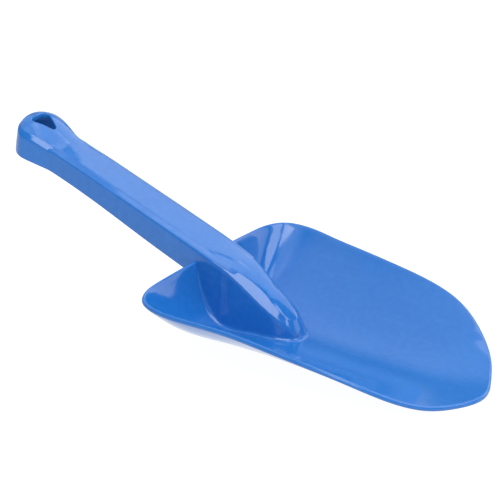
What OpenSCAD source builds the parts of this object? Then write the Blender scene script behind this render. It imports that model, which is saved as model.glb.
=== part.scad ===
// Sand shovel: a scoop blade with a flared wall and a hollow handle that is open underneath.
// The handle passes over the rear rim and comes down on to the blade floor as a rounded foot.
// All lengths in millimetres. +X points to the digging tip, +Z is up, Z = 0 is the blade's underside.

/* [Blade] */
// Length of the blade from the rear rim to the digging tip
blade_l = 133; // [110:1:160]
// Width across the rim at its widest place, just ahead of the rear corners
blade_w = 105; // [90:1:125]
// Height of the rim at the rear, where the handle crosses it
rim_h = 27.5; // [22:0.5:32]
// Height by which the underside of the blade rises at the digging tip
tip_rise = 0.2; // [0.1:0.1:3]
// Plan distance from the rear rim forward to the flat part of the floor
rear_run = 22; // [18:0.5:26]
// Plan distance from the digging tip back to the flat part of the floor
front_run = 18; // [14:0.5:24]
// Width of the flat strip along the underside, on which the blade stands
floor_w = 17; // [12:1:24]
// Wall thickness of the whole moulding
blade_t = 2; // [1.6:0.1:2.4]
// Height of the rounded lip that finishes the wall
lip_h = 3; // [2:0.5:4]

/* [Handle] */
// Plan distance from the rear rim back to the end of the handle
reach_l = 97; // [80:1:120]
// Angle by which the handle rises away from the blade, in degrees
grip_tilt = 18.5; // [14:0.5:22]
// Height of the handle's top above the rear rim
grip_over = 6.5; // [5:0.5:9]
// Width across the rounded top of the grip
grip_top_w = 20.4; // [17:0.2:22]
// Width across the open bottom edges of the grip
grip_w = 23.4; // [22.4:0.2:26]
// Depth of the grip from its top to its open bottom edges, where it meets the blade
grip_d = 11.4; // [9:0.2:12.4]
// Depth of the handle at its far end
end_d = 9.6; // [9:0.2:12]
// Height of the rounding along the grip's top edges
grip_round = 3.8; // [3:0.2:5]

/* [Hanging end] */
// Width of the hanging end across its open bottom edges
pad_w = 29; // [25:0.5:32]
// Length of the rounded end, up to its widest place
pad_l = 9; // [8:0.5:12]
// Length over which the hanging end narrows to the grip
neck_l = 14; // [12:1:22]
// Height by which the hanging end is domed above the line of the grip
pad_dome = 3.8; // [0:0.1:4]
// Length of the hanging hole along the handle
eye_l = 9.5; // [9:0.5:12]
// Width of the hanging hole across the handle
eye_w = 9.6; // [8:0.2:11]
// Corner radius of the hanging hole
eye_r = 1.8; // [1:0.2:2.4]
// Plan distance from the handle's end to the near edge of the hole
eye_in = 6.6; // [5:0.2:8]

/* [Foot] */
// Plan distance from the rear rim to the front of the foot
foot_l = 49; // [42:1:56]
// Width across the foot where it stands on the blade floor
foot_w = 22.6; // [20:0.2:26]

/* [Hidden] */

// Shovel blue and two neighbours of it, so that the pieces can be told apart
floor_col = [0.30, 0.50, 0.80];
wall_col = [0.33, 0.54, 0.85];
lip_col = [0.42, 0.62, 0.92];
foot_col = [0.26, 0.45, 0.76];
grip_col = [0.34, 0.56, 0.88];
end_col = [0.40, 0.60, 0.90];

// Places along the shovel, which lies with its middle over the origin
total_l = blade_l + reach_l;
rear_x = reach_l - total_l / 2;
end_x = -total_l / 2;
top_z = rim_h + grip_over;
tilt_slope = tan(grip_tilt);
floor_l = blade_l - rear_run - front_run;
sink = blade_t / 2;
clear_h = 2 * blade_t;
blunt = blade_t / 6;

// How finely the curved surfaces are divided
rim_steps = 3;
dish_rows = 4;
wall_rows = 5;
lip_steps = 6;
arch_steps = 16;
foot_steps = 3;
end_steps = 7;
neck_steps = 7;

// Rim outline in plan and its height, from the middle of the rear to the tip
rim_x_shares = [0.008, 0.004, 0, 0.006, 0.038, 0.105, 0.21, 0.346, 0.48, 0.616, 0.737, 0.835, 0.914, 0.968, 1];
rim_y_shares = [0, 0.35, 0.61, 0.79, 0.938, 1, 0.982, 0.942, 0.922, 0.89, 0.815, 0.675, 0.47, 0.22, 0];
rim_z_shares = [1, 0.98, 0.945, 0.925, 0.90, 0.87, 0.834, 0.80, 0.735, 0.648, 0.506, 0.292, 0.10, 0.01, 0];

// Edge of the flat floor in plan, from the middle of the rear to the front
floor_x_shares = [0, 0.001, 0.004, 0.011, 0.036, 0.098, 0.186, 0.306, 0.448, 0.59, 0.71, 0.82, 0.907, 0.973, 1];
floor_y_shares = [0, 0.3, 0.58, 0.8, 0.95, 1, 1, 1, 1, 0.98, 0.94, 0.85, 0.66, 0.35, 0];

// Wall section from the floor's edge to the rim, as the corners of a cubic curve: at the rear and at a side
rear_out_shares = [0, 0.6, 0.85, 1];
rear_up_shares = [0, 0, 0.46, 1];
side_out_shares = [0, 0.3, 0.66, 1];
side_up_shares = [0, 0, 0.42, 1];
side_mix_shares = [0, 0, 0.1, 0.3, 0.6, 0.85, 1, 1, 1, 1, 1, 1, 1, 1, 1];
// Place on the wall section where the dished floor ends and the wall proper begins
dish_share = 0.42;
// Places on the wall section just below the grip's lower edges, and just above them
rest_share = 0.84;
ledge_share = 0.92;

// Foot of the handle, from the rear rim to its front: place, top, arch and widths
foot_x_shares = [0, 0.15, 0.3, 0.43, 0.54, 0.69, 0.8, 0.885, 0.95, 0.985, 1];
foot_top_shares = [1, 0.928, 0.856, 0.78, 0.69, 0.555, 0.46, 0.36, 0.245, 0.135, 0.03];
foot_arch_shares = [0.112, 0.13, 0.19, 0.32, 0.46, 0.62, 0.7, 0.75, 0.8, 0.8, 0.8];
foot_power_shares = [0.32, 0.32, 0.3, 0.27, 0.25, 0.23, 0.22, 0.22, 0.22, 0.21, 0.2];
foot_crown_shares = [1, 1, 0.99, 0.97, 0.95, 0.9, 0.8, 0.66, 0.47, 0.27, 0.06];
foot_knee_shares = [1, 1.02, 1.03, 1.03, 1, 0.93, 0.82, 0.68, 0.48, 0.28, 0.07];
foot_base_shares = [1.1, 1.1, 1.09, 1.06, 1, 0.94, 0.84, 0.7, 0.5, 0.3, 0.08];
foot_level_shares = [0.8, 0.7, 0.6, 0.5, 0.5, 0.5, 0.5, 0.5, 0.5, 0.5, 0.5];
power_full = 10;
pad_power = 2.6;

// Smooth curve through four neighbouring control points
function blend(a, b, c, d, t) =
    0.5 * (2 * b + (c - a) * t + (2 * a - 5 * b + 4 * c - d) * t * t + (3 * b - a - 3 * c + d) * t * t * t);

// Curve through a list of control points, with the two end neighbours given
function curve(pts, first, last, steps) = let (all = concat([first], pts, [last]), n = len(pts)) concat(
    [for (i = [0:n - 2], k = [0:steps - 1]) blend(all[i], all[i + 1], all[i + 2], all[i + 3], k / steps)],
    [pts[n - 1]]);

// Cubic curve from four corner shares, and its direction
function cubic(c, u) = c[0] * pow(1 - u, 3) + 3 * c[1] * u * pow(1 - u, 2) + 3 * c[2] * u * u * (1 - u)
    + c[3] * pow(u, 3);
function cubic_dir(c, u) = 3 * ((c[1] - c[0]) * pow(1 - u, 2) + 2 * (c[2] - c[1]) * u * (1 - u)
    + (c[3] - c[2]) * u * u);

// A half outline that runs from the rear middle to the tip, closed with its mirror image
function flip(p) = [p[0], -p[1], p[2], p[3]];
function half_ring(pts) = curve(pts, flip(pts[1]), flip(pts[len(pts) - 2]), rim_steps);
function full_ring(half) = concat(half, [for (i = [len(half) - 2:-1:1]) flip(half[i])]);

rim_ctrl = [for (i = [0:len(rim_x_shares) - 1])
    [rear_x + (blade_l - sink) * rim_x_shares[i],
     blade_w / 2 * rim_y_shares[i],
     tip_rise + (rim_h - sink - tip_rise) * rim_z_shares[i],
     side_mix_shares[i]]];
floor_ctrl = [for (i = [0:len(floor_x_shares) - 1])
    [rear_x + rear_run + floor_l * floor_x_shares[i], floor_w / 2 * floor_y_shares[i], 0, 0]];
rim_ring = full_ring(half_ring(rim_ctrl));
floor_ring = full_ring(half_ring(floor_ctrl));
ring_places = [0:len(rim_ring) - 1];

// The wall's section at one place of the ring: outer face, direction and inner face
function out_of(i) = [rim_ring[i][0] - floor_ring[i][0], rim_ring[i][1] - floor_ring[i][1]];
function out_shares(i) = rear_out_shares + rim_ring[i][3] * (side_out_shares - rear_out_shares);
function up_shares(i) = rear_up_shares + rim_ring[i][3] * (side_up_shares - rear_up_shares);
function wall_out(i, u) = let (o = out_of(i), out = cubic(out_shares(i), u)) [
    floor_ring[i][0] + o[0] * out,
    floor_ring[i][1] + o[1] * out,
    rim_ring[i][2] * cubic(up_shares(i), u)];
function wall_dir(i, u) = let (
        o = out_of(i) * cubic_dir(out_shares(i), u),
        d = [o[0], o[1], rim_ring[i][2] * cubic_dir(up_shares(i), u)])
    d / norm(d);
function wall_flat(i) = let (o = out_of(i) / norm(out_of(i))) [o[0], o[1], 0];
function wall_in(i, u) = let (d = wall_dir(i, u))
    wall_out(i, u) - blade_t * d[2] * wall_flat(i) + [0, 0, blade_t * norm([d[0], d[1]])];

// Where the lip begins, as a place along the section's curve
function lip_from(i) = let (o = norm(out_of(i)),
    pace = norm([o * cubic_dir(out_shares(i), 1), rim_ring[i][2] * cubic_dir(up_shares(i), 1)]))
    1 - lip_h / pace;

// Triangles between the sections of a list, which is open or runs round to its start
function strip(n, m, closed) = [for (i = [0:(closed ? n - 1 : n - 2)], j = [0:m - 1]) let (
        a = i * m + j,
        b = i * m + (j + 1) % m,
        c = ((i + 1) % n) * m + (j + 1) % m,
        d = ((i + 1) % n) * m + j)
    each [[a, c, b], [a, d, c]]];

module loft(sections) {
    n = len(sections);
    m = len(sections[0]);
    polyhedron(
        [for (s = sections) each s],
        concat(strip(n, m, false), [[for (j = [0:m - 1]) j]], [[for (j = [m - 1:-1:0]) (n - 1) * m + j]]));
}

module ring_loft(sections) {
    polyhedron([for (s = sections) each s], strip(len(sections), len(sections[0]), true));
}

// Section across the handle: place, top, arch height, power, half widths at arch, knee and base, levels
function arch(s, in_t, low) = let (
        w = s[4] - in_t,
        h = s[2] - in_t,
        z = s[1] - s[2],
        e = 2 / s[3])
    concat(
        [for (k = [0:arch_steps]) let (a = 180 * k / arch_steps, c = cos(a))
            [s[0], (c < 0 ? -1 : 1) * w * pow(abs(c), e), z + h * pow(sin(a), e)]],
        [[s[0], -(s[5] - in_t), s[7]]],
        low ? [[s[0], -(s[6] - in_t), s[8] - in_t], [s[0], s[6] - in_t, s[8] - in_t]] : [],
        [[s[0], s[5] - in_t, s[7]]]);

// Half width along the hanging end and the neck, at a distance from the handle's end
function neck_share(d) = (1 + cos(180 * min(1, max(0, (d - pad_l) / neck_l)))) / 2;
function end_half(d, inset) = let (r = pad_l + blunt - inset, k = max(0, (pad_l - d) / r), full = pad_w / 2 - inset)
    d < pad_l ? full * sqrt(max(0, 1 - k * k)) : grip_w / 2 - inset + (pad_w - grip_w) / 2 * neck_share(d);
function line_z(x) = top_z - tilt_slope * (x - rear_x);
function low_z(x) = line_z(x) - end_d - (grip_d - end_d) * (x - end_x) / reach_l;
function end_drop(d, inset) = let (r = grip_round, k = max(0, (r + inset - d) / r)) d < r + inset
    ? (r - inset) * (1 - sqrt(max(0, 1 - k * k))) : 0;

side_flare = (grip_w - grip_top_w) / 2;

// One section of the hanging end, the neck or the grip, at a distance from the handle's end
function grip_section(d, inset) = let (
        x = end_x + d,
        share = neck_share(d),
        half = end_half(d, inset) + inset,
        z = line_z(x) + pad_dome * share - end_drop(d, inset),
        h = grip_round + pad_dome * share)
    [x, z, h, foot_power_shares[0] * power_full * (1 - share) + pad_power * share,
     max(half - side_flare, half / 2 + inset / 2), half, half, low_z(x), low_z(x) - clear_h];

end_dists = concat(
    [for (k = [0:end_steps]) pad_l * (1 - cos(90 * k / end_steps))],
    [for (k = [1:neck_steps]) pad_l + neck_l * k / neck_steps]);
hollow_dists = concat(
    [for (k = [0:end_steps]) blade_t + (pad_l - blade_t) * (1 - cos(90 * k / end_steps))],
    [for (k = [1:neck_steps]) pad_l + neck_l * k / neck_steps]);
end_sections = [for (d = end_dists) grip_section(d, 0)];
hollow_end_sections = [for (d = hollow_dists) grip_section(d, blade_t)];
grip_end_section = grip_section(reach_l, 0);

foot_ctrl = [for (i = [0:len(foot_x_shares) - 1]) let (
        z = top_z * foot_top_shares[i],
        h = z * foot_arch_shares[i])
    [rear_x + foot_l * foot_x_shares[i],
     z,
     h,
     power_full * foot_power_shares[i],
     grip_top_w / 2 * foot_crown_shares[i],
     foot_w / 2 * foot_knee_shares[i],
     foot_w / 2 * foot_base_shares[i],
     (z - h) * foot_level_shares[i] - sink,
     -sink]];
foot_first = concat([2 * rear_x - foot_ctrl[1][0]], [for (j = [1:8]) 2 * foot_ctrl[0][j] - foot_ctrl[1][j]]);
foot_last = 2 * foot_ctrl[len(foot_ctrl) - 1] - foot_ctrl[len(foot_ctrl) - 2];
foot_sections = curve(foot_ctrl, foot_first, foot_last, foot_steps);

// Solid outline of the handle inside the blade, from the rear rim forward and down past the floor
module foot_solid() {
    loft([for (s = foot_sections) arch(s, 0, true)]);
}

// Hollow of the whole handle, open underneath from end to end
module hollow_solid() {
    loft(concat(
        [for (s = hollow_end_sections) arch(s, blade_t, true)],
        [for (s = foot_sections) if (s[0] < rear_x + foot_l - 2 * blade_t) arch(s, blade_t, true)]));
}

// Space inside the blade's outer face. Over the rear rim it steps back on a ledge, level with the lower edges
// of the grip, and from there it goes straight up past the handle
module blade_space() {
    dish = [for (k = [dish_rows:-1:0]) dish_share * k / dish_rows];
    rows = [for (k = [wall_rows:-1:1]) dish_share + (rest_share - dish_share) * k / wall_rows];
    ledge = [for (i = ring_places) let (p = wall_out(i, ledge_share)) [p[0], p[1], min(p[2], low_z(rear_x))]];
    outside = [for (i = ring_places) ledge[i] + 2 * blade_t * wall_flat(i)];
    loft(concat(
        [[for (p = outside) [p[0], p[1], top_z + grip_over]], outside, ledge],
        [for (u = concat(rows, dish)) [for (i = ring_places) wall_out(i, u)]]));
}

module blade_floor() {
    rows = [for (k = [0:dish_rows]) dish_share * k / dish_rows];
    color(floor_col)
    difference() {
        loft(concat(
            [for (u = rows) [for (i = ring_places) wall_in(i, u)]],
            [for (k = [dish_rows:-1:0]) [for (i = ring_places) wall_out(i, rows[k])]]));
        foot_solid();
    }
}

module blade_wall() {
    color(wall_col)
    difference() {
        ring_loft([for (i = ring_places) let (
                top = lip_from(i),
                rows = [for (k = [0:wall_rows]) dish_share + (top - dish_share) * k / wall_rows])
            concat(
                [for (u = rows) wall_out(i, u)],
                [for (k = [wall_rows:-1:0]) wall_in(i, rows[k])])]);
        foot_solid();
    }
}

module rim_lip() {
    color(lip_col)
    difference() {
        ring_loft([for (i = ring_places) let (
                u = lip_from(i),
                a = wall_out(i, 1),
                b = wall_in(i, 1))
            concat(
                [wall_out(i, u)],
                [for (k = [0:lip_steps]) let (t = 180 * k / lip_steps)
                    (a + b) / 2 + (a - b) / 2 * cos(t) + wall_dir(i, 1) * blade_t / 2 * sin(t)],
                [wall_in(i, u)])]);
        foot_solid();
    }
}

module handle_foot() {
    color(foot_col)
    intersection() {
        difference() {
            foot_solid();
            hollow_solid();
        }
        blade_space();
    }
}

module handle_grip() {
    color(grip_col)
    difference() {
        loft([arch(end_sections[len(end_sections) - 1], 0, false), arch(grip_end_section, 0, false)]);
        hollow_solid();
    }
}

module eye_solid() {
    corners = [
        [end_x + eye_in + eye_r, eye_w / 2 - eye_r],
        [end_x + eye_in + eye_r, eye_r - eye_w / 2],
        [end_x + eye_in + eye_l - eye_r, 0]];
    translate([0, 0, line_z(end_x + pad_l + neck_l) - grip_d])
        linear_extrude(top_z + grip_d)
            hull()
                for (c = corners)
                    translate(c)
                        circle(eye_r, $fn = 32);
}

module hanging_end() {
    color(end_col)
    difference() {
        loft([for (s = end_sections) arch(s, 0, false)]);
        hollow_solid();
        eye_solid();
    }
}

blade_floor();
blade_wall();
rim_lip();
handle_foot();
handle_grip();
hanging_end();
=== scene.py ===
import bmesh
import bpy
import numpy as np
from mathutils import Matrix, Vector


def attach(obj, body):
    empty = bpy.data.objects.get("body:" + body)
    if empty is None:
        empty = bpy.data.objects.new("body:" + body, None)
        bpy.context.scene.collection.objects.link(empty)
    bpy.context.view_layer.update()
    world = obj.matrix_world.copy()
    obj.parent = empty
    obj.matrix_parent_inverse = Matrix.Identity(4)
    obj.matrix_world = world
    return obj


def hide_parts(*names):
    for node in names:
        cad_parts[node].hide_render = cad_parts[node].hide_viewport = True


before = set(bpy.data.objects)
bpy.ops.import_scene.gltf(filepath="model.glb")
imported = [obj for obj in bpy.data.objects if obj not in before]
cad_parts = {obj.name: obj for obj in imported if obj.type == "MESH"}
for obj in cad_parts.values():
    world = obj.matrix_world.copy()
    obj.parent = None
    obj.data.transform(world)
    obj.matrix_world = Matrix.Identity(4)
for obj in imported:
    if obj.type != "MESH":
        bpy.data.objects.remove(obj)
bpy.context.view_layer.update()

# The blade is the scoop of the shovel: one thin skin of glossy blue polypropylene, injection moulded in one shot
# with the handle. Its wall climbs from a rounded trough to a rim that falls from the rear to the digging tip.
# Sizes are in millimetres, with x from the handle to the tip, y across and z up.
MM = 0.001
REAR = -18.0
BLADE_LONG, BLADE_WIDE, RIM_HIGH, SKIN, TIP_RISE = 133.0, 105.0, 27.5, 2.0, 0.2
SPINE_REAR, SPINE_TIP, SPINE_SOFT = 16.0, 101.0, 5.0
# The rim from the middle of the rear to the tip, in shares of the blade's length, half width and height
RIM_ALONG = np.array([0.008, 0.004, 0, 0.006, 0.038, 0.105, 0.21, 0.346, 0.48, 0.616, 0.737, 0.835, 0.914,
                      0.968, 1])
RIM_ACROSS = np.array([0, 0.35, 0.61, 0.79, 0.938, 1, 0.98, 0.938, 0.916, 0.885, 0.812, 0.678, 0.485, 0.245, 0])
RIM_UP = np.array([1, 0.98, 0.945, 0.925, 0.90, 0.87, 0.834, 0.80, 0.735, 0.648, 0.506, 0.292, 0.10, 0.01, 0])
# The wall's steepness towards each of those places, and how widely the trough's middle is softened
WALL_POWER = np.array([5.0, 4.8, 4.3, 3.5, 2.75, 2.32, 2.18, 2.1, 2.0, 1.95, 1.88, 1.85, 1.85, 1.85, 1.85])
TROUGH_SOFT = 0.12
BLADE_RAYS, BLADE_ROWS, LIP_ROWS = 110, 44, 9
ROW_POWER = 0.85                # under 1 brings the rows closer together towards the rim
WELD, SLIVER = 2e-6, 1e-7       # metres within which points are one, and under which an edge is nothing
SHARP_FROM = np.radians(42)
HANDLE_TILT = np.radians(18.5)
# The blues, as red, green, blue and opacity. The hollow's blue is a painted shade for the handle's inner faces,
# darker than the plastic.
DEEP_BLUE, CLEAR_BLUE = (0.010, 0.120, 0.43, 1), (0.014, 0.140, 0.47, 1)
MOTTLE_BLUE, RUB_BLUE = (0.024, 0.172, 0.55, 1), (0.14, 0.31, 0.70, 1)
SPECK_BLUE, HOLLOW_SHADE_BLUE = (0.30, 0.50, 0.88, 1), (0.001, 0.085, 0.33, 1)
# How much of each colour shows, how rough the gloss is and what dulls it, and each bump's strength and its depth
# in metres
MOTTLE_SHARE, RUB_SHARE, SPECK_SHARE, HOLLOW_SHADE_SHARE = 0.35, 0.05, 0.30, 0.85
ROUGH_FROM, ROUGH_TO, RUB_DULL, PATCH_DULL, HOLLOW_DULL = 0.05, 0.10, 0.06, 0.05, 0.30
SPECULAR, HOLLOW_SPECULAR, IOR = 0.5, 0.1, 1.5
WAVE, PEEL, SCRATCH = (0.35, 0.0006), (0.05, 0.0003), (0.06, 0.0001)


def spline(knots, values, odd, at):
    """Smooth curve through values at knots, read at the places in at. It is the cubic spline whose slope and bend
    run on across both ends into the curve's own mirror image: slope zero at an even end, bend zero at an odd
    one."""
    step = np.diff(knots)
    count = len(knots)
    matrix = np.zeros((count, count))
    right = np.zeros(count)
    inner = np.arange(1, count - 1)
    matrix[inner, inner - 1] = step[:-1]
    matrix[inner, inner] = 2 * (step[:-1] + step[1:])
    matrix[inner, inner + 1] = step[1:]
    rise = np.diff(values) / step
    right[1:-1] = 6 * np.diff(rise)
    if odd:
        matrix[0, 0] = matrix[-1, -1] = 1
    else:
        matrix[0, :2] = 2 * step[0], step[0]
        matrix[-1, -2:] = step[-1], 2 * step[-1]
        right[0], right[-1] = 6 * rise[0], -6 * rise[-1]
    bend = np.linalg.solve(matrix, right)
    k = np.clip(np.searchsorted(knots, at, side="right") - 1, 0, count - 2)
    a = (knots[k + 1] - at) / step[k]
    b = 1 - a
    return (a * values[k] + b * values[k + 1]
            + ((a ** 3 - a) * bend[k] + (b ** 3 - b) * bend[k + 1]) * step[k] ** 2 / 6)


def soft_clip(x, low, high, width):
    """x held between low and high, with corners rounded over width: low plus two soft ramps of opposite sign."""
    ramp = lambda d: width * np.logaddexp(0, d / width)
    return low + ramp(x - low) - ramp(x - high)


def blade_sections(rays):
    """Rim point, spine point and power of the height law for evenly spread rays, from the rear middle to the tip.
    A ray runs in plan from the spine, the trough's lowest line, out to the rim."""
    x = REAR + (BLADE_LONG - SKIN / 2) * RIM_ALONG
    y = BLADE_WIDE / 2 * RIM_ACROSS
    z = TIP_RISE + (RIM_HIGH - SKIN / 2 - TIP_RISE) * RIM_UP
    knots = np.concatenate([[0], np.cumsum(np.sqrt(np.diff(x) ** 2 + np.diff(y) ** 2))])
    at = np.linspace(0, knots[-1], rays)
    rim = np.stack([spline(knots, x, False, at), spline(knots, y, True, at), spline(knots, z, False, at)], -1)
    rim[:, 2] = np.maximum(rim[:, 2], TIP_RISE / 2)
    spine_x = soft_clip(rim[:, 0], SPINE_REAR, SPINE_TIP, SPINE_SOFT)
    return rim, spine_x, spline(knots, WALL_POWER, False, at)


def blade_half(rays, rows):
    """Grid of one half of the blade. Under side: height = rim height times (share of the way out) to a power, with
    the share softened near the spine so that the trough has no crease. Upper side: the under side moved by the
    skin's thickness along its normal. A half circle joins them at the rim."""
    rim, spine_x, power = blade_sections(rays)
    spine = np.stack([spine_x, 0 * spine_x], -1)
    out = rim[:, :2] - spine
    far = np.linalg.norm(out, axis=1, keepdims=True)
    out = out / far
    share = np.linspace(0, 1, rows) ** ROW_POWER
    power = power[:, None]
    soft = share ** 2 + TROUGH_SOFT ** 2
    span = (1 + TROUGH_SOFT ** 2) ** (power / 2) - TROUGH_SOFT ** power
    height = rim[:, 2:] * (soft ** (power / 2) - TROUGH_SOFT ** power) / span
    slope = rim[:, 2:] * power * share * soft ** (power / 2 - 1) / span / far
    lean = np.arctan(slope)
    reach = far * share

    def place(radius, level):
        """Points at a radius along each ray and at a level."""
        flat = spine[:, None, :] + out[:, None, :] * radius[..., None]
        return np.concatenate([flat, level[..., None]], -1)

    under = place(reach, height)
    upper = place(reach - SKIN * np.sin(lean), height + SKIN * np.cos(lean))
    turn = np.linspace(0, np.pi, LIP_ROWS + 2)[1:-1]
    last = lean[:, -1:]
    middle_r = reach[:, -1:] - SKIN / 2 * np.sin(last)
    middle_z = height[:, -1:] + SKIN / 2 * np.cos(last)
    lip = place(middle_r + SKIN / 2 * (np.sin(last) * np.cos(turn) + np.cos(last) * np.sin(turn)),
                middle_z + SKIN / 2 * (-np.cos(last) * np.cos(turn) + np.sin(last) * np.sin(turn)))
    return np.concatenate([under, lip, upper[:, ::-1]], 1), upper


def whole_ring(half):
    """A half grid and its mirror image across the plane y = 0, as one ring of rays."""
    return np.concatenate([half, half[-2:0:-1] * np.array([1, -1, 1])], 0)


def ring_mesh(name, grid, keep=None, hollow=None):
    """Mesh object of a ring of rays, each a row of points in millimetres. Equal points become one, so that the
    spine and the poles are closed, and the faces are turned outwards. keep picks the faces, and hollow is a value
    for each point that the material reads."""
    rays, rows = grid.shape[:2]
    ray, row = np.meshgrid(np.arange(rays), np.arange(rows - 1), indexing="ij")
    after = (ray + 1) % rays
    quads = np.stack([ray * rows + row, after * rows + row, after * rows + row + 1, ray * rows + row + 1], -1)
    quads = quads.reshape(-1, 4) if keep is None else quads[keep]
    mesh = bpy.data.meshes.new(name)
    mesh.from_pydata((grid.reshape(-1, 3) * MM).tolist(), [], quads.tolist())
    if hollow is not None:
        values = np.ravel(hollow).astype(np.float32)
        mesh.attributes.new("hollow", "FLOAT", "POINT").data.foreach_set("value", values)
    work = bmesh.new()
    work.from_mesh(mesh)
    bmesh.ops.remove_doubles(work, verts=work.verts, dist=WELD)
    bmesh.ops.dissolve_degenerate(work, edges=work.edges, dist=SLIVER)
    bmesh.ops.recalc_face_normals(work, faces=work.faces)
    work.to_mesh(mesh)
    work.free()
    piece = bpy.data.objects.new(name, mesh)
    bpy.context.scene.collection.objects.link(piece)
    return piece


def plug(tree, node, inputs):
    """The node, once each of the named inputs is linked to a socket of the tree or set to a value."""
    for name, value in inputs.items():
        if isinstance(value, bpy.types.NodeSocket):
            tree.links.new(value, node.inputs[name])
        else:
            node.inputs[name].default_value = value
    return node


def maths(tree, operation, first, second):
    """Sum or product of two sockets or numbers."""
    node = tree.nodes.new("ShaderNodeMath")
    node.operation = operation
    return plug(tree, node, {0: first, 1: second}).outputs[0]


def moulded_blue(name):
    """Glossy blue polypropylene: a deep blue with a slow drift of tone and a fine mottle, a slightly wavy gloss
    with orange peel, fine rub marks along the handle's tilt that dull it, and a few pale specks. The hollow is
    duller, and its dark blue is a painted shade. Each pattern is a noise, so many to a metre, that sets in
    between two of its levels."""
    material = bpy.data.materials.new(name)
    material.use_nodes = True
    tree = material.node_tree
    place = tree.nodes.new("ShaderNodeTexCoord").outputs["Object"]

    def noise(scale, detail, stretch=(1, 1, 1), turn=0.0):
        """Noise from 0 to 1, squeezed by stretch and turned about the Y axis."""
        mapping = plug(tree, tree.nodes.new("ShaderNodeMapping"),
                       {"Vector": place, "Scale": stretch, "Rotation": (0, turn, 0)})
        texture = plug(tree, tree.nodes.new("ShaderNodeTexNoise"),
                       {"Vector": mapping.outputs["Vector"], "Scale": scale, "Detail": detail})
        return texture.outputs["Fac"]

    def ramp(value, low, high, start, end):
        """start where the value is low, end where it is high, and a straight line between."""
        node = plug(tree, tree.nodes.new("ShaderNodeMapRange"),
                    {"Value": value, "From Min": low, "From Max": high, "To Min": start, "To Max": end})
        return node.outputs["Result"]

    def blend(share, first, second):
        """The first colour, with a share of the second in its place."""
        node = tree.nodes.new("ShaderNodeMix")
        node.data_type = "RGBA"
        return plug(tree, node, {"Factor": share, 6: first, 7: second}).outputs[2]

    drift = ramp(noise(16, 2), 0.3, 0.7, 0, 1)
    mottle = ramp(noise(420, 3), 0.35, 0.75, 0, MOTTLE_SHARE)
    rubs = ramp(noise(55, 4, (0.5, 9, 9), HANDLE_TILT), 0.60, 0.72, 0, 1)
    patches = ramp(noise(38, 3), 0.52, 0.68, 0, PATCH_DULL)
    # Specks are the middles of scattered cells, and only of about every third cell
    cells = plug(tree, tree.nodes.new("ShaderNodeTexVoronoi"), {"Vector": place, "Scale": 110})
    specks = maths(tree, "MULTIPLY", ramp(cells.outputs["Distance"], 0.03, 0.06, 1, 0),
                   ramp(cells.outputs["Color"], 0.66, 0.70, 0, 1))
    hollow = tree.nodes.new("ShaderNodeAttribute")
    hollow.attribute_name = "hollow"
    inside = hollow.outputs["Fac"]

    colour = blend(drift, DEEP_BLUE, CLEAR_BLUE)
    # On the handle's inner faces, the hollow's blue is a painted shade laid over the plastic's own colours.
    for share, second in ((mottle, MOTTLE_BLUE), (ramp(rubs, 0, 1, 0, RUB_SHARE), RUB_BLUE),
                          (ramp(specks, 0, 1, 0, SPECK_SHARE), SPECK_BLUE),
                          (ramp(inside, 0, 1, 0, HOLLOW_SHADE_SHARE), HOLLOW_SHADE_BLUE)):
        colour = blend(share, colour, second)
    rough = ramp(noise(90, 4), 0.3, 0.7, ROUGH_FROM, ROUGH_TO)
    for duller in (ramp(rubs, 0, 1, 0, RUB_DULL), patches, ramp(inside, 0, 1, 0, HOLLOW_DULL)):
        rough = maths(tree, "ADD", rough, duller)
    # The gloss is uneven by a slow wave, by orange peel, and by the rubs and specks
    normal = None
    for height, (strength, depth) in ((noise(30, 1), WAVE), (noise(600, 2), PEEL),
                                      (maths(tree, "ADD", rubs, specks), SCRATCH)):
        bump = plug(tree, tree.nodes.new("ShaderNodeBump"),
                    {"Height": height, "Strength": strength, "Distance": depth})
        if normal:
            tree.links.new(normal, bump.inputs["Normal"])
        normal = bump.outputs["Normal"]
    plug(tree, tree.nodes["Principled BSDF"],
         {"Base Color": colour, "Roughness": rough, "IOR": IOR, "Normal": normal,
          "Specular IOR Level": ramp(inside, 0, 1, SPECULAR, HOLLOW_SPECULAR)})
    return material


def dress(piece, material):
    """Gives a piece its material, and a smooth shading that breaks at sharp corners only."""
    piece.data.materials.clear()
    piece.data.materials.append(material)
    piece.data.shade_smooth()
    piece.data.set_sharp_from_angle(angle=SHARP_FROM)


blue = moulded_blue("blue_plastic")
blade_grid, blade_upper = blade_half(BLADE_RAYS, BLADE_ROWS)
blade = ring_mesh("blade", whole_ring(blade_grid))
dress(blade, blue)
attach(blade, "root")
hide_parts("blade_floor", "blade_wall", "rim_lip")

# The handle is a channel, open underneath, of the same plastic and skin as the blade. Its top is flat between two
# soft creases, beyond which a narrow slope leads to the flared sides. It has a domed end with a hanging hole and a
# foot that comes down on the blade.
END = -115.0
TOP_AT_REAR = 34.0
# The foot's nose and the rounded end: where each starts, how long it is, and the power that squares its oval
NOSE_AT, NOSE_LONG, NOSE_FULL = 15.8, 13.8, 0.88
PAD_AT, PAD_LONG, PAD_FULL, PAD_WIDER = -106.0, 7.6, 0.9, 3.5
NECK_LONG, NECK_SOFT = 13.0, 0.07
# How high the end's dome is, where it starts to fall, over what length, and how softly
DOME, DOME_TO, DOME_FALL, DOME_SOFT = 3.8, -103.0, 11.5, 0.15
# How far the sides flare out, and the depth in which most of that is done
FLARE, FLARE_DEPTH = 3.2, 16.0
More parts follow.
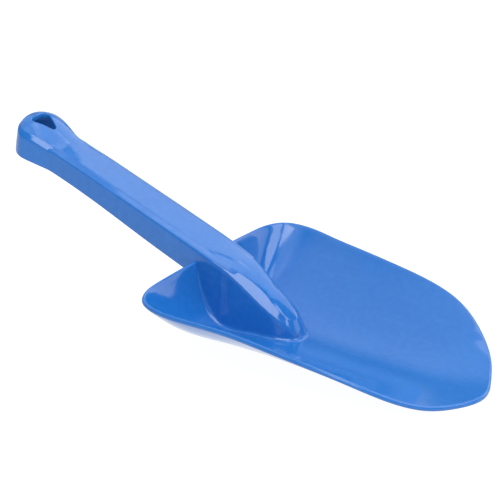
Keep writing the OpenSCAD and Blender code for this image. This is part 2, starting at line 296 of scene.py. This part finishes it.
# The height of the foot's ridge, which takes over from the straight line at FOOT_FROM, the depth from that line to
# the lower edges, and the half width of the top
FOOT_FROM = -30.0
FOOT_X = np.array([-40, -18, -10.65, -3.3, 3.07, 8.46, 15.8, 21.2, 25.4, 28.5, 31.0, 36.0])
FOOT_TOP = np.array([41.36, 34, 31.55, 29.25, 26.85, 23.8, 19.1, 15.7, 13.0, 11.1, 9.6, 6.6])
DEPTH_X = np.array([-140, -106, -75, -40, -18, 0])
DEPTH = np.array([10.7, 10.7, 10.2, 11.5, 12.0, 12.5])
WIDTH_X = np.array([-140, -80, -40, -18, -10.65, -3.3, 3.07, 8.46, 15.8])
CROWN_HALF = np.array([9.6, 9.6, 9.8, 9.9, 9.9, 9.7, 9.2, 8.6, 8.0])
# The section: how wide the slope is, how far in degrees the crown and the slope have turned down, how long the
# rounded edge and the crease are, and the least half width of the crown
SECTION_X = np.array([-140, -106, -95, -90.5, -75, -40, -18, -10.65, -3.3, 0, 3.07, 8.46, 15.8, 21, 26, 29.6])
SLOPE_WIDE = np.array([1.7, 1.7, 1.7, 2.4, 2.6, 2.9, 3.0, 2.9, 2.8, 2.9, 3.1, 3.8, 3.8, 3.1, 2.9, 2.9])
CROWN_TURN = np.array([32, 32, 20, 8, 1, 1, 1, 4, 10, 11, 12, 16, 24, 24, 26, 28])
SLOPE_TURN = np.array([50, 51, 50, 26, 23, 19, 18, 18, 20, 27, 37, 40, 41, 42, 43, 48])
EDGE_LONG = np.array([1.2, 1.2, 1.2, 1.2, 1.2, 1.4, 2.2, 2.6, 3.0, 3.2, 3.4, 3.6, 3.6, 3.2, 2.8, 2.6])
CREASE_LONG, CROWN_LEAST = 0.9, 0.5
# The hanging hole: how far in from the end, its length and width, and the rounding of its corners and its edge
EYE_IN, EYE_LONG, EYE_WIDE, EYE_ROUND, EYE_EDGE = 6.6, 9.5, 9.6, 1.8, 0.6
# The rounding of the lower edges, and how much of the side its rows take up, as a multiple of it
LOWER_ROUND, LOWER_ROOM = 0.7, 1.3
# The concave round on the blade, which fades to its least share along the rear rim, and how far the foot's side
# is sunk into the blade's skin
FILLET, FILLET_LEAST, FADE_FROM, FADE_LONG, SUNK = 1.6, 0.15, 1.0, 6.0, 0.7
# The last ray that comes down on the blade, and the step to the first behind the rim
RIM_INSIDE, RIM_STEP = -14.7, 1.3
# Where the foot's way of placing the rays on the ridge takes over from the end's, and how soft the foot's is
HALF_WAY, RIDGE_SOFT = -60.0, 3.0
# How many rays and rows there are
NOSE_RAYS, FOOT_RAYS, GRIP_RAYS, NECK_RAYS, END_RAYS = 34, 50, 50, 40, 36
TOP_ROWS, BEND_ROWS, INNER_ROWS, EYE_SIDE_ROWS, EYE_EDGE_ROWS = (12, 6, 6, 12, 12), 10, 40, 3, 6
# The step and length of the path over the section, and every how many steps the blade is looked up
STEP, PATH_LONG, COARSE = 0.05, 62.0, 8
# How far out from the ridge the hole's edge is looked for, and in how many steps
EYE_REACH, EYE_STEPS = 12.0, 1200
# How far along and across the blade the foot can reach, the least upward share of a normal that counts as its
# floor, and how many points are looked up at a time
FOOT_REACH, FOOT_HALF, STEEPEST, BATCH = 48, 22, 0.02, 400
CUT_BELOW = -6.0
TINY = 1e-12


def straight_line(x):
    """Height of the grip's ridge, carried on in a straight line."""
    return TOP_AT_REAR - np.tan(HANDLE_TILT) * (x - REAR)


def top_line(x):
    """Height of the handle's ridge: a straight tilt along the grip, a dome on the rounded end and a bend down the
    foot."""
    foot = spline(FOOT_X, FOOT_TOP, True, np.clip(x, FOOT_X[0], FOOT_X[-1]))
    dome = DOME * (1 - soft_clip((x - DOME_TO) / DOME_FALL, 0, 1, DOME_SOFT))
    return np.where(x < FOOT_FROM, straight_line(x), foot) + dome


def low_line(x):
    """Height of the handle's lower edges: the straight line less the depth."""
    return straight_line(x) - spline(DEPTH_X, DEPTH, True, np.clip(x, DEPTH_X[0], DEPTH_X[-1]))


def crown_half(x):
    """Half width of the handle's top, which the neck widens towards the rounded end along a straight taper with
    soft ends."""
    neck = 1 - soft_clip((x - PAD_AT) / NECK_LONG, 0, 1, NECK_SOFT)
    return spline(WIDTH_X, CROWN_HALF, True, x) + PAD_WIDER * neck


def eye_distance(x, y):
    """Distance in plan from the edge of the hanging hole, a triangle with rounded corners. Negative is inside."""
    rear, tip = END + EYE_IN + EYE_ROUND, END + EYE_IN + EYE_LONG - EYE_ROUND
    wide = EYE_WIDE / 2 - EYE_ROUND
    corners = np.array([[rear, wide], [rear, -wide], [tip, 0]])
    point = np.stack([x, y], -1)[..., None, :]
    side = np.roll(corners, -1, 0) - corners
    along = np.clip(((point - corners) * side).sum(-1) / (side ** 2).sum(-1), 0, 1)
    away = np.linalg.norm(point - corners - along[..., None] * side, axis=-1).min(-1)
    within = ((point - corners) * np.stack([side[:, 1], -side[:, 0]], -1)).sum(-1)
    inside = np.all(within > 0, -1) | np.all(within < 0, -1)
    return np.where(inside, -away, away) - EYE_ROUND


def blade_under(x, y):
    """Height and upward normal of the blade's upper side below points in plan, taken from the tangent plane at the
    nearest point of its grid. Only the part within the foot's reach is searched."""
    normal = np.cross(np.gradient(blade_upper, axis=0), np.gradient(blade_upper, axis=1))
    normal *= np.sign(normal[..., 2:])
    normal /= np.maximum(np.linalg.norm(normal, axis=-1, keepdims=True), TINY)
    near = (blade_upper[..., 1] < FOOT_HALF) & (blade_upper[..., 0] < FOOT_REACH) & (normal[..., 2] > STEEPEST)
    grid, normal = blade_upper[near], normal[near]
    flat = np.stack([np.ravel(x), np.abs(np.ravel(y))], -1)
    best = np.concatenate([((part[:, None, :] - grid[None, :, :2]) ** 2).sum(-1).argmin(1)
                           for part in np.array_split(flat, max(1, len(flat) // BATCH))])
    up = normal[best]
    level = grid[best, 2] - (up[:, :2] * (flat - grid[best, :2])).sum(-1) / up[:, 2]
    up = up * np.stack([np.ones(len(up)), np.where(np.ravel(y) < 0, -1, 1), np.ones(len(up))], -1)
    return np.minimum(level, RIM_HIGH).reshape(np.shape(x)), up.reshape(np.shape(x) + (3,))


def read_rows(values, known, wanted):
    """For each ray, the values that belong to the known places, read at the wanted places by straight lines."""
    k = np.clip((known[:, None, :] <= wanted[:, :, None]).sum(-1) - 1, 0, known.shape[1] - 2)
    low = np.take_along_axis(known, k, 1)
    high = np.take_along_axis(known, k + 1, 1)
    mix = np.clip((wanted - low) / np.maximum(high - low, TINY), 0, 1)
    return np.take_along_axis(values, k, 1) * (1 - mix) + np.take_along_axis(values, k + 1, 1) * mix


def first_below(gap):
    """For each ray, the place among the columns, with its fraction, at which gap first falls to zero."""
    k = np.clip((np.cumsum(gap <= 0, 1) == 0).sum(1) - 1, 0, gap.shape[1] - 2)[:, None]
    g0, g1 = np.take_along_axis(gap, k, 1), np.take_along_axis(gap, k + 1, 1)
    return k + np.clip(g0 / np.where(g0 - g1 == 0, 1, g0 - g1), 0, 1)


def handle_rays():
    """Rays in plan from the ridge to the corner line of the top: the corner points, the places on the ridge, the
    directions and the lengths. The corner line is half an oval round the nose, the half widths along the handle
    and half an oval round the end, where an oval is an ellipse with its width to a power."""
    nose = np.linspace(0, np.pi / 2, NOSE_RAYS, endpoint=False)
    along = np.concatenate([np.linspace(NOSE_AT, RIM_INSIDE, FOOT_RAYS),
                            np.linspace(RIM_INSIDE - RIM_STEP, PAD_AT + NECK_LONG, GRIP_RAYS),
                            np.linspace(PAD_AT + NECK_LONG, PAD_AT, NECK_RAYS)[1:]])
    end = np.linspace(0, np.pi / 2, END_RAYS)[1:]
    x = np.concatenate([NOSE_AT + NOSE_LONG * np.cos(nose), along, PAD_AT - PAD_LONG * np.sin(end)])
    y = np.concatenate([crown_half(np.array([NOSE_AT])) * np.sin(nose) ** NOSE_FULL, crown_half(along),
                        crown_half(np.array([PAD_AT])) * np.maximum(np.cos(end), 0) ** PAD_FULL])
    spine_x = np.where(x < HALF_WAY, np.maximum(x, PAD_AT), soft_clip(x, PAD_AT, NOSE_AT, RIDGE_SOFT))
    edge = np.stack([x, y], -1)
    out = edge - np.stack([spine_x, 0 * spine_x], -1)
    far = np.linalg.norm(out, axis=1, keepdims=True)
    return edge, spine_x, out / far, far


def section_at(x):
    """Width of the slope, turns of the crown and of the slope, and length of the rounded edge, for sections at x.
    From one given section to the next, each runs half in a straight line and half in a smooth step."""
    at = np.clip(x, END, SECTION_X[-1])
    k = np.clip(np.searchsorted(SECTION_X, at, side="right") - 1, 0, len(SECTION_X) - 2)
    mix = (at - SECTION_X[k]) / (SECTION_X[k + 1] - SECTION_X[k])
    mix = 0.5 * mix + 0.5 * mix ** 2 * (3 - 2 * mix)
    slope_wide, crown, slope, edge_long = [(values[k] + (values[k + 1] - values[k]) * mix)[:, None]
                                           for values in (SLOPE_WIDE, CROWN_TURN, SLOPE_TURN, EDGE_LONG)]
    return slope_wide, np.radians(crown), np.radians(slope), edge_long


def handle_half():
    """Grid of one half of the handle, where its hole ends on each ray, and its inner face. The section over a ray
    is the path whose heading turns slowly over the crown, then by a crease on to a slope, and by a rounded edge on
    to the flared side: radius and drop are the sums of the heading's cosine and sine. The side ends in a rounded
    lower edge on the grip, and on the blade in a concave quarter round. The inner face is the same, one skin
    further in."""
    edge, spine_x, out, far = handle_rays()
    slope_wide, crown, slope, edge_long = section_at(edge[:, 0])
    on_blade = (edge[:, 0] > RIM_INSIDE - RIM_STEP / 2)[:, None]
    path = np.arange(0, PATH_LONG, STEP)[None, :]
    known = path * np.ones_like(far)

    def ease(t):
        """Smooth step from 0 to 1 as t goes from -1/2 to 1/2."""
        return np.clip(t + 0.5, 0, 1) ** 2 * (3 - 2 * np.clip(t + 0.5, 0, 1))

    def plan(radius):
        """The points in plan at a radius along each ray."""
        return spine_x[:, None] + out[:, :1] * radius, out[:, 1:] * radius

    def profile(skin):
        """Radius and height along the path of the outer face, or of the face one skin further in, and the places
        along it of the crease and of the rounded edge."""
        crease = np.maximum(far - skin - slope_wide, CROWN_LEAST) * crown / np.sin(crown)
        corner = crease + slope_wide / np.cos(slope)
        fall = np.exp(-np.maximum(path - corner, 0) / FLARE_DEPTH)
        side = np.pi / 2 - np.arctan(FLARE / FLARE_DEPTH * fall)
        heading = (crown * np.clip(path / crease, 0, 1) + (slope - crown) * ease((path - crease) / CREASE_LONG)
                   + (side - slope) * ease((path - corner) / edge_long))
        radius = np.cumsum(np.cos(heading), 1) * STEP
        drop = skin + np.cumsum(np.sin(heading), 1) * STEP
        radius, drop = radius - radius[:, :1], drop - drop[:, :1] + skin
        level = top_line(spine_x[:, None] + out[:, :1] * np.minimum(radius, far - skin)) - drop
        return radius, level, crease, corner

    def blade_along(radius):
        """Height of the blade's upper side all along the path, from that at every few steps of it."""
        sparse = blade_under(*[v[:, ::COARSE] for v in plan(radius)])[0]
        return read_rows(sparse, known[:, ::COARSE], known)

    # Where each ray meets the edge of the hole, and the same edge grown by its rounding
    radius_line = np.linspace(0, EYE_REACH, EYE_STEPS)[None, :] * np.ones_like(far)
    hole_gap = eye_distance(*plan(radius_line))
    hole, hole_round = [np.where(hole_gap < grown, radius_line, 0).max(1, keepdims=True)
                        for grown in (0, EYE_EDGE)]

    # The outer face, from the ridge or the hole's edge down to where it meets the blade or the lower edge
    radius, level, crease, corner = profile(0)
    low = low_line(edge[:, :1])
    stop = first_below(level - np.where(on_blade, blade_along(radius), low)) * STEP
    start = read_rows(known, radius, hole_round)
    # Its rows lie close together at the crease, at the rounded edge and at the lower edge
    last = stop - np.where(on_blade, 2 * FILLET, LOWER_ROUND * LOWER_ROOM)
    knots = [start, crease - CREASE_LONG / 2, crease + CREASE_LONG / 2, corner - edge_long / 2,
             corner + edge_long / 2, last]
    top_rows = np.concatenate([a + (b - a) * np.linspace(0, 1, n, endpoint=False)
                               for a, b, n in zip(knots, knots[1:], TOP_ROWS)], 1)
    bend = np.linspace(0, np.pi / 2, BEND_ROWS)
    reach = np.where(on_blade, FILLET, LOWER_ROUND)
    wanted = np.concatenate([np.clip(top_rows, start, last), last + (stop - last - reach) * 0.5,
                             stop - reach * (1 - np.sin(bend))], 1)
    wanted = np.maximum.accumulate(np.clip(wanted, start, stop), axis=1)
    r, z = read_rows(radius, known, wanted), read_rows(level, known, wanted)

    # The concave quarter round on the blade, faded in along the rear rim
    under, up = blade_under(*plan(r))
    size = FILLET * np.clip((edge[:, :1] - RIM_INSIDE + FADE_FROM) / FADE_LONG, FILLET_LEAST, 1)
    lift = np.maximum(z - under, 0)
    gap = np.clip(1 - lift * up[..., 2] / size, 0, 1)
    push = np.where(on_blade, size * (1 - np.sqrt(1 - gap ** 2)), 0)
    under_out, up_out = blade_under(*plan(r + push))
    z_out = np.where(on_blade & (push > 0), under_out + lift, z)
    # The rounded lower edge of the grip
    lift_low = np.clip(1 - (z - low) / LOWER_ROUND, 0, 1)
    r_out = np.where(on_blade, r + push, r - LOWER_ROUND * (1 - np.sqrt(1 - lift_low ** 2)))
    outer = np.stack([*plan(r_out), z_out], -1)
    sunk = outer[:, -1:] - SUNK * up_out[:, -1:]

    # The inner face from its lower edge up to the ridge
    radius_in, level_in = profile(SKIN)[:2]
    stop_in = first_below(level_in - np.where(on_blade, blade_along(radius_in) - SUNK, low)) * STEP
    start_in = read_rows(known, radius_in, hole)
    wanted_in = start_in + (stop_in - start_in) * np.sin(np.linspace(1, 0, INNER_ROWS) * np.pi / 2)
    r_in, z_in = read_rows(radius_in, known, wanted_in), read_rows(level_in, known, wanted_in)
    r_in[:, -1:] = hole
    inner = np.stack([*plan(r_in), z_in], -1)
    bottom_mid = np.where(on_blade[..., None], sunk, (outer[:, -1:] + inner[:, :1]) / 2)

    # The edge of the hole: a rounding that depends on the distance from the hole, then its straight side
    r_eye = hole + (hole_round - hole) * np.linspace(0, 1, EYE_EDGE_ROWS, endpoint=False)
    away = np.where(hole_round > 0, np.clip(1 - eye_distance(*plan(r_eye)) / EYE_EDGE, 0, 1), 0)
    z_eye = read_rows(level, radius, r_eye) - EYE_EDGE * (1 - np.sqrt(1 - away ** 2))
    eye = np.stack([*plan(r_eye), z_eye], -1)
    up_side = np.linspace(0, 1, EYE_SIDE_ROWS, endpoint=False)[None, :, None]
    side = inner[:, -1:] + (eye[:, :1] - inner[:, -1:]) * up_side
    return np.concatenate([side, eye, outer, bottom_mid, inner], 1), hole[:, 0], inner


handle_grid, hole, hollow_half = handle_half()
handle_ring = whole_ring(handle_grid)
rays, rows = handle_ring.shape[:2]
# The hole's side has faces only at the hole, and the rows of its rounding only where they aren't all on the ridge
hole_ring = np.concatenate([hole, hole[-2:0:-1]])
eye_end = EYE_SIDE_ROWS + EYE_EDGE_ROWS
on_ridge = np.abs(handle_ring[:, EYE_SIDE_ROWS:eye_end + 1, 1]).max(1) < TINY
kept = np.ones((rays, rows - 1), bool)
kept[(hole_ring == 0) & (np.roll(hole_ring, -1) == 0), :EYE_SIDE_ROWS] = False
kept[on_ridge & np.roll(on_ridge, -1), EYE_SIDE_ROWS:eye_end] = False
# The inner faces and the lower end of the hole's side are marked. The material gives them a duller gloss and a
# painted shade.
in_hollow = np.arange(rows) >= rows - INNER_ROWS
in_hollow[0] = True
handle = ring_mesh("handle", handle_ring, kept, in_hollow[None, :] * np.ones((rays, 1)))
dress(handle, blue)
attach(handle, "root")
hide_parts("handle_foot", "handle_grip", "hanging_end")

# The blade is open under the foot, so that the hollow of the handle runs on down to the blade's under side. The
# opening is the hollow's own form, carried straight down and cut out of the blade's mesh.
deep = hollow_half[:, :1] * np.array([1, 1, 0]) + np.array([0, 0, CUT_BELOW])
floor_mid = deep * np.array([1, 0, 1])
hollow = ring_mesh("hollow", whole_ring(np.concatenate([floor_mid, deep, hollow_half], 1)))
cut = blade.modifiers.new("opening", "BOOLEAN")
cut.operation, cut.solver, cut.object = "DIFFERENCE", "EXACT", hollow
made = bpy.data.meshes.new_from_object(blade.evaluated_get(bpy.context.evaluated_depsgraph_get()))
blade.modifiers.clear()
blade.data = made
bpy.data.objects.remove(hollow)
dress(blade, blue)

# A plain white sheet lies under the shovel. It glows by itself, as a light table does, so that it stays an even
# white round the soft shadow.
TABLE_HALF, SHEET_GREY, SHEET_GLOW = 3.0, 0.12, 0.96
floor_mesh = bpy.data.meshes.new("floor")
floor_mesh.from_pydata([(TABLE_HALF * x, TABLE_HALF * y, 0) for x, y in ((-1, -1), (1, -1), (1, 1), (-1, 1))],
                       [], [(0, 1, 2, 3)])
floor = bpy.data.objects.new("floor", floor_mesh)
bpy.context.scene.collection.objects.link(floor)
white = bpy.data.materials.new("white_sheet")
white.use_nodes = True
plug(white.node_tree, white.node_tree.nodes["Principled BSDF"],
     {"Base Color": (SHEET_GREY, SHEET_GREY, SHEET_GREY, 1), "Roughness": 0.9,
      "Emission Color": (1, 1, 1, 1), "Emission Strength": SHEET_GLOW})
floor_mesh.materials.append(white)

# A soft white room stands round the shovel: an even glow that is dimmer overhead, with two broad brighter patches
# that the gloss mirrors. Each patch is its direction, the cosines between which it sets in, and its glow.
ROOM_GLOW = 0.7
ROOM_PATCHES = (((0, 0, 1), 0.10, 0.35, -0.5), ((-0.566, 0.206, 0.799), 0.76, 0.95, 0.9),
                ((0, -0.208, 0.978), 0.91, 0.985, 1.2))
world = bpy.data.worlds.new("studio")
world.use_nodes = True
room = world.node_tree
looking = room.nodes.new("ShaderNodeTexCoord").outputs["Generated"]
brightness = ROOM_GLOW
for toward, near, far, glow in ROOM_PATCHES:
    along = room.nodes.new("ShaderNodeVectorMath")
    along.operation = "DOT_PRODUCT"
    plug(room, along, {0: looking, 1: toward})
    patch = room.nodes.new("ShaderNodeMapRange")
    patch.interpolation_type = "SMOOTHSTEP"
    plug(room, patch, {"Value": along.outputs["Value"], "From Min": near, "From Max": far, "To Min": 0,
                       "To Max": glow})
    brightness = maths(room, "ADD", brightness, patch.outputs["Result"])
plug(room, room.nodes["Background"], {"Strength": brightness, "Color": (1, 1, 1, 1)})
bpy.context.scene.world = world


# Six soft boxes light the shovel. The window stands behind the camera and the right box off the tip, and the four
# behind the shovel are what its level and gently sloping faces mirror.
def softbox(name, heading, height, far, size, glow):
    """Rectangular light that faces the shovel from far metres away, at a heading from +X and a height in degrees,
    with its width and height in metres and the brightness of its face."""
    light = bpy.data.lights.new(name, "AREA")
    light.shape, light.size, light.size_y = "RECTANGLE", size[0], size[1]
    light.energy = glow * np.pi * size[0] * size[1]
    lamp = bpy.data.objects.new(name, light)
    heading, height = np.radians(heading), np.radians(height)
    toward = Vector((np.cos(heading) * np.cos(height), np.sin(heading) * np.cos(height), np.sin(height)))
    lamp.location = toward * far
    lamp.rotation_euler = toward.to_track_quat("Z", "Y").to_euler()
    bpy.context.scene.collection.objects.link(lamp)


softbox("back_box", 87, 33, 5.0, (4.0, 2.6), 1.5)
softbox("high_box", 80, 60, 2.5, (1.4, 1.2), 1.6)
softbox("sky_box", 62, 79, 2.5, (1.3, 0.5), 2.1)
softbox("low_box", 48, 12, 2.5, (2.2, 1.0), 1.3)
softbox("window", -54, 53, 2.5, (1.65, 1.5), 5.4)
softbox("right_box", 12, 45, 2.5, (1.1, 1.2), 4.0)

# The camera stands where the photographer's did: it looks down on the near side from ahead of the tip. Its focal
# length and the point that it is aimed at, off the line to the shovel, are in pixels of the photo.
AZIMUTH, ELEVATION = np.radians(36.861), np.radians(25.387)
LOOKED_AT, DISTANCE = np.array([-0.01719, 0, 0]), 0.9293
FOCAL, AIM, PICTURE, SENSOR = 2230.4, (41.1, 63.0), 500, 36
NEAREST, FARTHEST = 0.05, 20
back = np.array([np.sin(AZIMUTH) * np.cos(ELEVATION), -np.cos(AZIMUTH) * np.cos(ELEVATION), np.sin(ELEVATION)])
right = np.array([np.cos(AZIMUTH), np.sin(AZIMUTH), 0])
up = np.cross(back, right)
forward = -back * FOCAL + right * AIM[0] + up * AIM[1]
forward /= np.linalg.norm(forward)
# The camera's right and up are turned by the same angle as its line of sight, round the same axis
axis = np.cross(-back, forward)
sine, cosine = np.linalg.norm(axis), -back @ forward
axis /= sine
turned = [v * cosine + np.cross(axis, v) * sine + axis * (axis @ v) * (1 - cosine) for v in (right, up)]
lens = bpy.data.cameras.new("photo_camera")
lens.sensor_width = SENSOR
lens.lens = FOCAL * SENSOR / PICTURE
lens.clip_start, lens.clip_end = NEAREST, FARTHEST
camera = bpy.data.objects.new("photo_camera", lens)
stand = LOOKED_AT + DISTANCE * back
camera.matrix_world = Matrix(np.block([[np.stack([*turned, -forward], 1), stand[:, None]],
                                       [np.zeros((1, 3)), np.ones((1, 1))]]).tolist())
bpy.context.scene.collection.objects.link(camera)
bpy.context.scene.camera = camera
bpy.context.scene.view_settings.view_transform = "Standard"

# Everything is brought up to date
bpy.context.view_layer.update()
